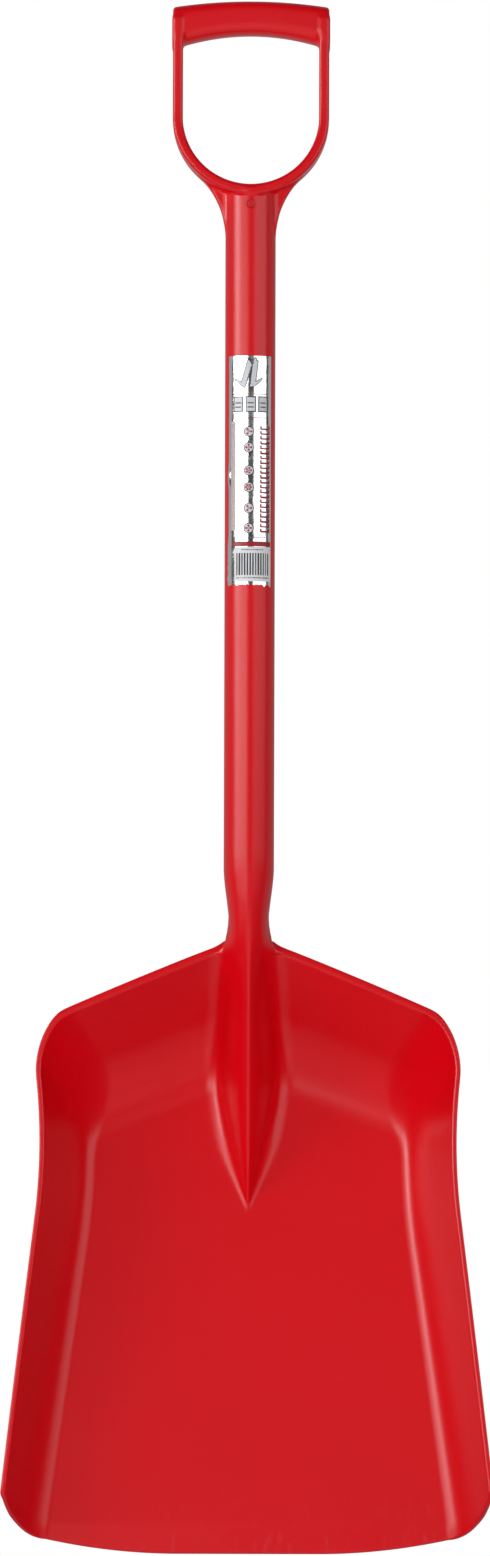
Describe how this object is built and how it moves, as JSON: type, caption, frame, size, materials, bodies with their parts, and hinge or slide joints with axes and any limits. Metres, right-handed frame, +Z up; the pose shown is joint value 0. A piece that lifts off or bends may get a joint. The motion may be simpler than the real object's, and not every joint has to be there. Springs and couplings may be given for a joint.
{
  "type": "grain scoop shovel",
  "caption": "Plastic grain shovel with a deep flared scoop blade, straight round shaft and D-grip, lying on its back.",
  "frame": {"origin": "middle of the footprint, on the ground, of the shovel lying on its back: the heel of the blade and the back of the D-grip touch z = 0", "axes": "+Y from the blade's front edge towards the hand bar, +X to the right across the blade, +Z up out of the hollow of the blade"},
  "size_m": [0.348, 1.109, 0.1353],
  "materials": {
    "moulding_red": "semi-gloss injection-moulded polypropylene, self-coloured red",
    "label_foil": null,
    "label_paper": null
  },
  "bodies": {
    "root": {"blade": "moulding_red", "shaft": "moulding_red", "grip_yoke": "moulding_red", "hand_bar": "moulding_red", "gate_plug": "moulding_red", "shaft_label": "label_foil", "barcode_label": "label_paper"}
  },
  "joints": []
}
